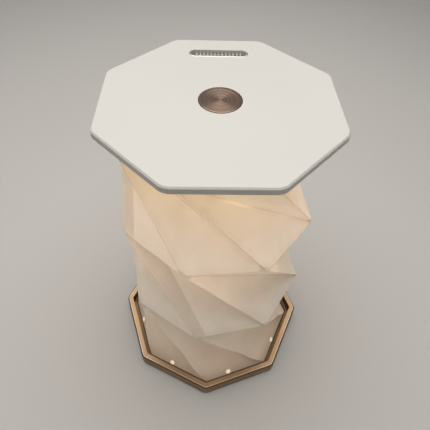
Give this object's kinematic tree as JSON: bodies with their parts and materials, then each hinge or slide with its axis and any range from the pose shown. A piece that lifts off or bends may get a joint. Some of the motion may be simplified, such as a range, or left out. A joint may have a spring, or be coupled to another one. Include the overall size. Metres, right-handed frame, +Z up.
{
  "type": "paper lantern",
  "caption": "Twist-and-fold paper lantern: an octagonal lid with a round push button over a folded, lit paper tube that packs flat into an octagonal bronze base.",
  "frame": {"origin": "centre of the underside, on the floor plane under the rubber feet", "axes": "+Z up along the axis that the lid drops and turns on; +Y towards the badge at the lid's back edge; the lid's sides face +X, -X, +Y and -Y"},
  "size_m": [0.162, 0.162, 0.2516],
  "materials": {
    "bronze": "satin bronze",
    "dark_plastic": "matt",
    "frame_plastic": "matt",
    "rubber": "matt",
    "steel": "plated",
    "magnet": "nickel plated",
    "paper": "soft, translucent, creased",
    "rivet_plastic": "translucent",
    "white_plastic": "satin",
    "badge_metal": "satin grey",
    "diffuser_plastic": "frosted",
    "circuit_board": "white solder mask",
    "led_lens": "phosphor",
    "cell_wrap": "foil pouch",
    "switch_metal": "stamped",
    "socket_metal": "satin",
    "bezel_plastic": "dark brown",
    "copper": "spun, copper brown"
  },
  "bodies": {
    "base": {"base_ring": "bronze", "base_floor": "dark_plastic", "foot_frame": "frame_plastic", "rubber_feet": "rubber", "base_screws": "steel", "base_magnets": "magnet", "paper_tier_lower": "paper", "paper_tier_middle": "paper", "paper_tier_upper": "paper", "paper_rivets": "rivet_plastic"},
    "collar": {"top_collar": "frame_plastic"},
    "lid": {"lid_plate": "white_plastic", "badge": "badge_metal", "lid_tray": "white_plastic", "tray_screws": "steel", "collar_keeper": "white_plastic", "diffuser": "diffuser_plastic", "led_board": "circuit_board", "leds": "led_lens", "puck_housing": "white_plastic", "puck_screws": "steel", "cell": "cell_wrap", "lid_magnets": "magnet", "control_board": "circuit_board", "tact_switch": "switch_metal", "usb_socket": "socket_metal", "button_bezel": "bezel_plastic"},
    "button": {"button_cap": "copper", "button_carrier": "bezel_plastic"}
  },
  "joints": [
    {"name": "lid_drop", "type": "slide", "parent": "base", "child": "collar", "axis": [0, 0, -1], "range_m": [0, 0.2356], "deforming": ["paper_tier_lower", "paper_tier_middle", "paper_tier_upper"]},
    {"name": "lid_twist", "type": "hinge", "parent": "collar", "child": "lid", "pos_m": [0, 0, 0.2457], "axis": [0, 0, 1], "range_deg": [-116.25, 0]},
    {"name": "power_button", "type": "slide", "parent": "lid", "child": "button", "axis": [0, 0, -1], "range_m": [0, 0.0005], "stiffness_N_per_m": 3000, "springref_m": -0.0005}
  ],
  "couplings": [
    {"joint": "lid_twist", "follows": "lid_drop", "rad_per_m": -8.6095}
  ]
}
